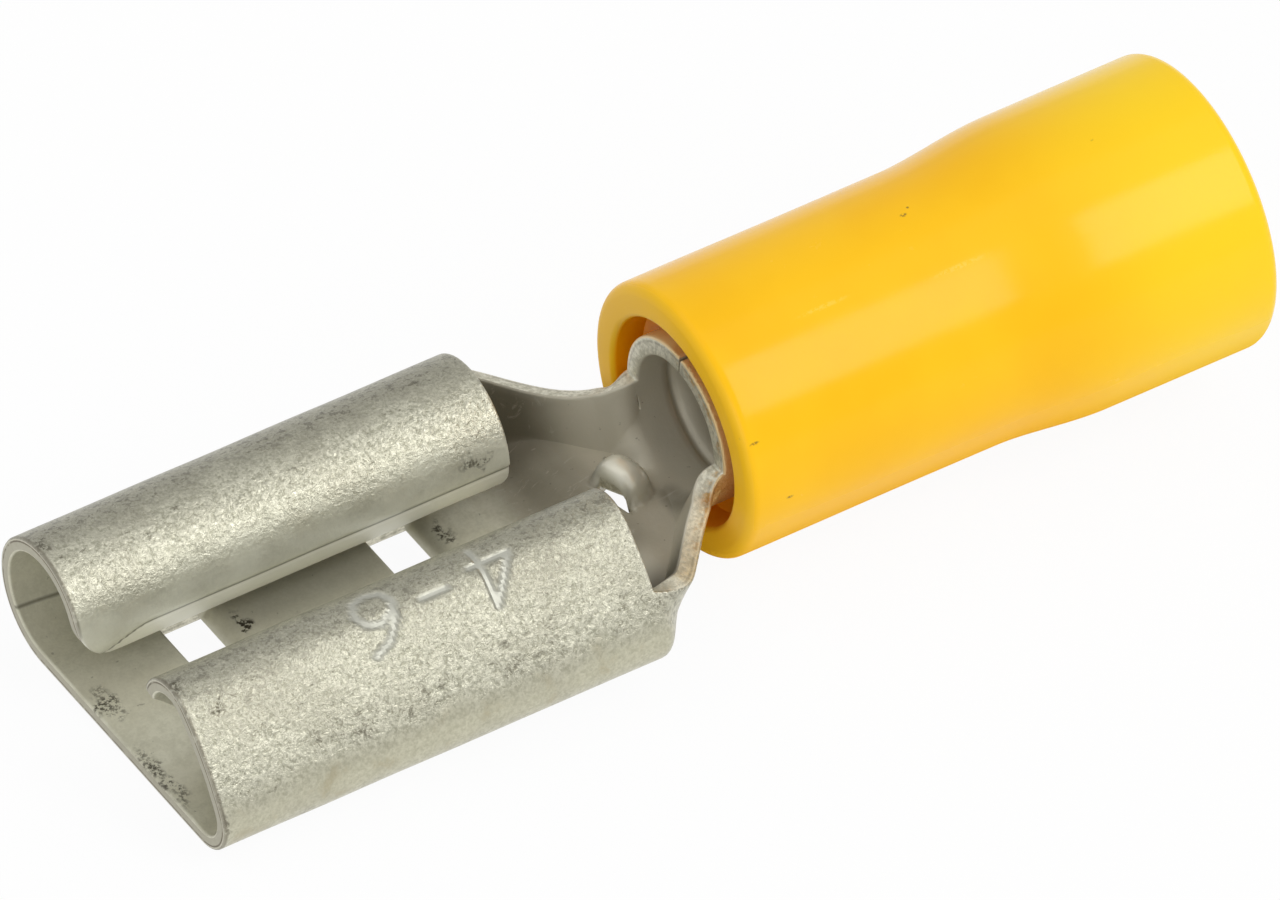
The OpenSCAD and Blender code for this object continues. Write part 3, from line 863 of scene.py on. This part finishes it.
insideTones = {
    "dull": (0.55, 0.535, 0.415), "bright": (0.66, 0.645, 0.515), "cloud": (0.56, 0.53, 0.41),
    "between": (0.40, 0.385, 0.29), "neck": (0.215, 0.192, 0.135), "wall": (0.14, 0.12, 0.08),
    "clear": (0.66, 0.62, 0.50), "foldShade": (0.10, 0.085, 0.055), "crown": (0.92, 0.90, 0.76),
    "smudge": (0.05, 0.042, 0.025), "fleck": (0.09, 0.08, 0.05), "rub": (0.62, 0.58, 0.48),
    "creaseShade": (0.1, 0.09, 0.06), "corner": (0.09, 0.075, 0.048), "rim": (0.7, 0.68, 0.56),
}
edgeTones = {
    "dull": (0.54, 0.52, 0.41), "bright": (0.80, 0.775, 0.64), "mouth": (0.42, 0.40, 0.31),
    "tan": (0.62, 0.37, 0.10), "rollShadow": (0.11, 0.085, 0.05), "burr": (0.78, 0.75, 0.63),
}


def nearMarks(f, marks, place=None):
    total = None
    for centre, reach in marks.values():
        away = ((place or f.place) - centre) * tuple(1 / r for r in reach)
        near = f.band(f.length(away), 1.1, 0.35)
        total = near if total is None else total + near
    return total


def smudges(f, marks, scale):
    # Stray noise keeps a mark from looking like a neat oval.
    stray = f.node("ShaderNodeTexNoise", None, {"Vector": f.place, "Scale": 3.0, "Detail": 3.0}, "Color")
    place = f.place + (stray - 0.5) * 0.7
    return f.band(f.noise(scale, 4, 0.65), 0.44, 0.56) * nearMarks(f, marks, place)


def tinSkin():
    f, c = Finish("tinSkin"), skinTones
    along, over, high = f.axes()
    frost = f.noise(8.8, 4, 0.75, distort=0.3)
    sand = f.noise(17, 2, 0.6)
    grain = f.noise(4.2, 4, 0.7)
    broad = f.noise(0.8, 4, 0.6)
    rim, coin, lip, gap = (f.stored(name) for name in ("rimNear", "coin", "lipBand", "lipGap"))
    smooth = f.node("ShaderNodeMath", {"operation": "MAXIMUM"}, {0: coin, 1: lip})
    # The tops of both curls are darker, with more dark specks; the flanks stay smooth and a little warm.
    leftTop = f.band(over + broad, 2.6, 3.8) * f.band(high, -0.9, 0.3)
    rightTop = f.band(over + broad, -3.1, -1.5) * f.band(over, 0.5, 0)
    darkTops = leftTop + rightTop * 0.8
    # Painted reflection: under the left curl's turn the tin is painted lighter and made less metallic,
    # standing in for the bright reflection it shows there.
    litTurnUnder = f.band(over + broad * 0.5, 2.0, 1.35) * f.band(over, 0, 0.5)
    flank = f.band(over + broad * 0.5, -3.45, -3.75) + litTurnUnder
    bare = (1 - smooth) * (1 - flank * 0.75)
    mottle = f.band(frost * 0.7 + sand * 0.3, 0.36, 0.64)
    tone = f.blend(mottle, c["dull"], c["bright"])
    tone = f.blend(flank * 0.6, tone, c["flank"])
    tone = f.blend(f.band(broad, 0.45, 0.66) * 0.3, tone, c["cloud"])
    tone = f.blend(darkTops * 0.4, tone, c["darkTops"])
    specks = f.band(grain * 0.3 + frost * 0.7, 0.49, 0.58) * (0.08 + darkTops * 0.66)
    tone = f.blend(specks * bare, tone, c["speck"])
    cracks = f.band(f.noise(3.4, 5, 0.75, f.place * (0.8, 1.4, 1.4), 0.5), 0.60, 0.68)
    tone = f.blend(cracks * 0.65 * bare, tone, c["crack"])
    # A line of pits runs along the turn of the right flank.
    pits = f.band(f.noise(5, 5, 0.75, f.place, 0.6), 0.53, 0.62) * f.band(broad, 0.42, 0.56)
    tone = f.blend(f.line(over, -3.62, 0.3, 0.05) * pits * 0.7, tone, c["pit"])
    stain = f.band(f.noise(1.1, 4, 0.7), 0.52, 0.66) * flank * (1 - lip)
    tone = f.blend(stain * 0.5, tone, c["stain"])
    # Painted reflection under the left curl's turn.
    tone = f.blend(litTurnUnder * 0.8, tone, c["litTurnUnder"])
    tone = f.blend(coin * 0.85, tone, c["coin"])
    # The left lip is flattened bright; beside its crease run a painted highlight and a painted shade line.
    tone = f.blend(lip * 0.9, tone, c["lip"])
    tone = f.blend(f.line(gap, -0.075, 0.05, 0.01) * 0.7, tone, c["ridgeHighlight"])
    tone = f.blend(f.line(gap, 0, 0.05, 0.01) * 0.75, tone, c["creaseShade"])
    tone = f.blend(smudges(f, skinMarks, 13) * 0.8, tone, c["smudge"])
    # A painted shadow line runs along the skin at the mouth edge, where the rolled-over edge shades it.
    mouthShadow = f.band(along, -24.3, -24.36) * f.band(f.noise(3, 3, 0.6), 0.3, 0.5)
    tone = f.blend(mouthShadow * 0.75, tone, c["mouth"])
    # Just before the sleeve the skin is painted tan, less metallic: a painted reflection of the yellow
    # sleeve.
    tan = f.band(along, -13.0, -12.3)
    tone = f.blend(tan * 0.75, tone, c["tan"])
    tone = f.blend(rim * (0.3 + lip * 0.5), tone, c["rim"])
    f.feed("Base Color", tone)
    f.feed("Metallic", 0.94 - coin * 0.25 - litTurnUnder * 0.72 - tan * 0.45)
    f.feed("Roughness", f.band(grain, 0.3, 0.7, 0.37, 0.29) + smooth * 0.1)
    relief = f.bump(sand * bare, 0.006, 0.8)
    relief = f.bump(frost * bare, 0.03, 0.8, relief)
    f.feed("Normal", f.bump(grain * bare, 0.04, 0.6, relief))
    return f.material


def tinInside():
    f, c = Finish("tinInside", Metallic=0.45), insideTones
    along, over, high = f.axes()
    grain = f.noise(2.6, 5, 0.65)
    fine = f.noise(15, 3, 0.6)
    broad = f.noise(0.6, 3, 0.5)
    rim, crown = f.stored("rimNear"), f.stored("stopCrown")
    tone = f.blend(f.band(grain * 0.6 + fine * 0.4, 0.35, 0.65), c["dull"], c["bright"])
    tone = f.blend(f.band(broad, 0.4, 0.65) * 0.4, tone, c["cloud"])
    # The floor between the slots is painted darker: painted shade under the curls.
    between = f.band(along, -21.3, -19.8) * f.band(along, -15.8, -17)
    tone = f.blend(between * 0.4, tone, c["between"])
    # The neck's inside is painted as shade, darker and browner, its left wall darkest, and the painted
    # shade clears again towards the barrel.
    neck = f.band(along, -15.6, -14.3)
    tone = f.blend(neck * 0.92, tone, c["neck"])
    wall = f.band(over, 1.6, 2.3) * neck
    tone = f.blend(wall * 0.6, tone, c["wall"])
    clear = f.band(along + broad * 0.4, -13.5, -12.5)
    clear = clear + f.band(over, -1.0, -1.7) * neck * (1 - clear) * 0.7
    tone = f.blend(clear * 0.8, tone, c["clear"])
    # Painted shade along the bend where the neck floor turns up into the barrel.
    foldShade = f.line(along, -12.22, 0.36, 0.04) * f.band(over, 0.0, -0.4) * f.band(over, -1.6, -1.1)
    tone = f.blend(foldShade * 0.6, tone, c["foldShade"])
    # The raised stop's crown is painted bright: painted light where it rises into the light.
    tone = f.blend(crown * 0.9, tone, c["crown"])
    tone = f.blend(smudges(f, insideMarks, 12) * 0.9, tone, c["smudge"])
    tone = f.blend(f.band(f.noise(7, 2, 0.6), 0.70, 0.75) * 0.4, tone, c["fleck"])
    rubs = f.band(f.noise(1.6, 4, 0.7, f.place * (1.0, 2.6, 1.0), 1.2), 0.60, 0.66) * neck
    tone = f.blend(rubs * 0.2, tone, c["rub"])
    # Inside the left curl a faint crease runs back from the mouth; its dark line is painted shade.
    curl = f.band(over, 2.9, 3.1) * f.band(along, -22.6, -23.6)
    tone = f.blend(curl * f.line(high, -1.38, 0.05, 0.0) * 0.7, tone, c["creaseShade"])
    # Painted shade in the right-hand corner of the neck, before the barrel.
    corner = f.band(over, -1.7, -2.5) * f.band(along, -12.9, -13.7) * neck
    tone = f.blend(corner * 0.85, tone, c["corner"])
    tone = f.blend(rim * f.band(along, -24.2, -23.8, 0.05, 0.3), tone, c["rim"])
    f.feed("Base Color", tone)
    f.feed("Roughness", f.band(grain, 0.3, 0.7, 0.55, 0.44) - crown * 0.16)
    f.feed("Normal", f.bump(fine, 0.003, 0.6, f.bump(grain, 0.016, 0.5)))
    return f.material


def cutEdge():
    f, c = Finish("cutEdge", Metallic=0.7), edgeTones
    along, over = f.axes()[:2]
    streak = f.noise(9, 4, 0.65)
    across = f.stored("across")
    tone = f.blend(f.band(streak, 0.35, 0.65), c["dull"], c["bright"])
    tone = f.blend(f.band(along, -24.0, -24.2), tone, c["mouth"])
    tan = f.band(along, -13.6, -12.6) * f.band(over, 0.3, -0.3)
    tan = tan * f.band(f.noise(2.4, 4, 0.7), 0.42, 0.58) * f.band(across, 0.65, 0.25)
    tone = f.blend(tan * 0.85, tone, c["tan"])
    # A painted shadow line runs along the cut face near the outer face, where the rolled-over edge shades
    # it, with a bright burr beside it.
    rollShadow = f.band(f.noise(3, 3, 0.6), 0.36, 0.5) * f.band(along, -23.9, -24.2, 0.3, 0.85)
    tone = f.blend(f.line(across, 0.2, 0.12, 0.03) * rollShadow, tone, c["rollShadow"])
    tone = f.blend(f.band(across, 0.12, 0.0) * 0.6, tone, c["burr"])
    f.feed("Base Color", tone)
    f.feed("Roughness", f.band(streak, 0.3, 0.7, 0.5, 0.4))
    f.feed("Normal", f.bump(streak, 0.015, 0.6))
    return f.material


# ---- Sleeve: one moulding of soft yellow vinyl ----

# mm; x runs back from the terminal's mouth.
vinyl = {
    "x": 12.5, "length": 11.9, "frontR": 2.85, "rearR": 3.05, "edgeR": 0.24, "tailR": 0.25,
    "flareL": 2.5, "flareLap": 0.4, "flareSteps": 24,
    # Front recess, seat round the barrel, throat behind it and the funnel to the wire's entry.
    "recessR": 2.15, "recessL": 0.7, "recessLead": 0.12, "leadEnd": 0.05,
    "seatClear": 0.02, "seatLead": 0.25, "throatL": 0.3, "throatExtra": 0.16,
    "funnelL": 2.0, "entryR": 2.45, "entryLip": 0.06,
    # Points round it, how far its skin falls short, and the turn past which an edge stays sharp (radians).
    "sides": 176, "ripple": 0.006, "rippleFrom": 2.6, "sharpFrom": 0.6,
}


def sleeveOutline():
    v, t = vinyl, tab
    end = v["x"] + v["length"]
    stopEnd = t["barrelEnd"] + v["seatClear"]
    throatR = t["barrelR"] - t["sheet"] + v["throatExtra"]
    seatR = t["barrelR"] + v["seatClear"]
    flareX = t["barrelEnd"] - v["flareLap"]
    lead, e, b, lip = v["recessLead"], v["edgeR"], v["tailR"], v["entryLip"]
    line = []
    def to(x, r, step=0.4):
        x0, r0 = line[-1]
        n = max(1, math.ceil(math.hypot(x - x0, r - r0) / step))
        line.extend((mix(x0, x, k / n), mix(r0, r, k / n)) for k in range(1, n))
        line.append((x, r))
    def arc(x, r, radius, a0, a1, n=7):
        for k in range(n + 1):
            a = math.radians(mix(a0, a1, k / n))
            line.append((x + radius * math.cos(a), r + radius * math.sin(a)))
    arc(v["x"] + lead, v["recessR"] + lead, lead, 270, 180, 5)
    arc(v["x"] + e, v["frontR"] - e, e, 180, 90, 9)
    n = v["flareSteps"]
    for k in range(1, n + 1):
        to(flareX + v["flareL"] * k / n, mix(v["frontR"], v["rearR"], float(ease(0, n, k))), 0.5)
    arc(end - b, v["rearR"] - b, b, 90, 0)
    arc(end - lip, v["entryR"] + lip, lip, 0, -90, 4)
    to(stopEnd + v["throatL"] + v["funnelL"], v["entryR"])
    to(stopEnd + v["throatL"], throatR)
    to(stopEnd, throatR)
    to(stopEnd, seatR)
    to(v["x"] + v["recessL"] + v["seatLead"], seatR, 0.8)
    to(v["x"] + v["recessL"], v["recessR"])
    to(v["x"] + lead + v["leadEnd"], v["recessR"])
    return line


def buildSleeve():
    line = sleeveOutline()
    n, m = vinyl["sides"], len(line)
    verts, faces = [], []
    for x, r in line:
        for k in range(n):
            a = 2 * math.pi * k / n
            # A moulding is never quite round or straight; it only ever falls short.
            soft = vinyl["ripple"] * (1 + math.sin(2 * a + 0.4 * x) * math.cos(0.7 * x + 1))
            rr = r - (soft if r > vinyl["rippleFrom"] else 0)
            verts.append(((x - tab["overall"]) * mm, rr * math.cos(a) * mm, rr * math.sin(a) * mm))
    for i in range(m):
        for k in range(n):
            a, b = i * n + k, i * n + (k + 1) % n
            c, d = (i + 1) % m * n + (k + 1) % n, (i + 1) % m * n + k
            faces.append((a, b, c, d))
    print("sleeve:", len(faces), "faces")
    return meshPiece("vinylSleeve", verts, faces, sharpFrom=vinyl["sharpFrom"])


# Specks and scratches on the moulding, mm.
vinylMarks = {
    "mouthSpeck": ((-11.82, -2.3, 1.41), (0.05, 0.09, 0.07)),
    "topSpeck": ((-6.68, -0.02, 2.85), (0.09, 0.06, 0.05)),
    "topSpeck2": ((-6.5, 0.12, 2.86), (0.04, 0.04, 0.05)),
    "rimScratch": ((-11.62, -2.51, 1.3), (0.13, 0.03, 0.06)),
    "lowScratch": ((-11.04, -2.85, -0.11), (0.11, 0.05, 0.04)),
    "rearSpeck": ((-2.6, -0.3, 2.98), (0.06, 0.1, 0.06)),
}
vinylScuffs = {
    "scuffA": ((-9.2, -1.15, 2.6), (0.7, 0.06, 0.06)),
    "scuffB": ((-6.3, -1.45, 2.46), (0.75, 0.07, 0.07)),
}
vinylTones = {
    "deep": (0.97, 0.52, 0.005), "bright": (1.0, 0.56, 0.008), "rear": (1.0, 0.68, 0.016),
    "face": (0.88, 0.52, 0.02), "under": (0.86, 0.44, 0.004), "recess": (0.96, 0.36, 0.0),
    "mark": (0.22, 0.12, 0.02), "scuff": (1.0, 0.72, 0.12),
}


def yellowVinyl():
    f, c = Finish("yellowVinyl", Metallic=0.0, IOR=1.46, Specular_IOR_Level=0.22), vinylTones
    along, _, high = f.axes()
    broad = f.noise(0.3, 3, 0.5)
    tone = f.blend(f.band(broad, 0.35, 0.65), c["deep"], c["bright"])
    # The rear of the sleeve is painted lighter yellow: painted light falling from behind.
    tone = f.blend(f.band(along, -5.5, -0.8) * 0.8, tone, c["rear"])
    face = f.band(along, -11.75, -11.86)
    tone = f.blend(face * 0.55, tone, c["face"])
    # The underside is painted darker orange: painted shade.
    tone = f.blend(f.band(high, -0.8, -2.6) * 0.4, tone, c["under"])
    # Inside the front recess the light has gone through the vinyl.
    radius = f.length(f.place * (0, 1, 1))
    recess = f.band(along, -11.86, -11.78) * f.band(radius, 2.3, 2.2) * f.band(along, -10.5, -11.0)
    tone = f.blend(recess * 0.85, tone, c["recess"])
    patchy = f.band(f.noise(14, 3, 0.7), 0.42, 0.54)
    tone = f.blend(nearMarks(f, vinylMarks) * patchy * 0.85, tone, c["mark"])
    tone = f.blend(nearMarks(f, vinylScuffs) * patchy * 0.35, tone, c["scuff"])
    f.feed("Base Color", tone)
    scuffed = f.band(f.noise(2.4, 5, 0.7), 0.58, 0.7)
    f.feed("Roughness", f.band(broad, 0.3, 0.7, 0.17, 0.23) + scuffed * 0.06 + face * 0.18
           + f.band(high, -0.4, -2.0, 0, 0.6))
    f.feed("Normal", f.bump(f.noise(0.9, 3, 0.5), 0.02, 0.3, f.bump(f.noise(20, 2, 0.5), 0.0008, 0.4)))
    return f.material


# ---- Assembly ----

addCamera()
addLamps()
addFloor((-tab["overall"], -tab["axisH"]),
         (vinyl["x"] + vinyl["edgeR"] - tab["overall"], -(vinyl["frontR"] - vinyl["edgeR"])),
         vinyl["edgeR"])
print("studio ready")

terminal = buildTerminal()
for material in (tinSkin(), tinInside(), cutEdge()):
    terminal.data.materials.append(material)
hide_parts("terminal")
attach(terminal, "root")

sleeve = buildSleeve()
sleeve.data.materials.append(yellowVinyl())
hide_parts("sleeve")
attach(sleeve, "root")
print("pieces ready")
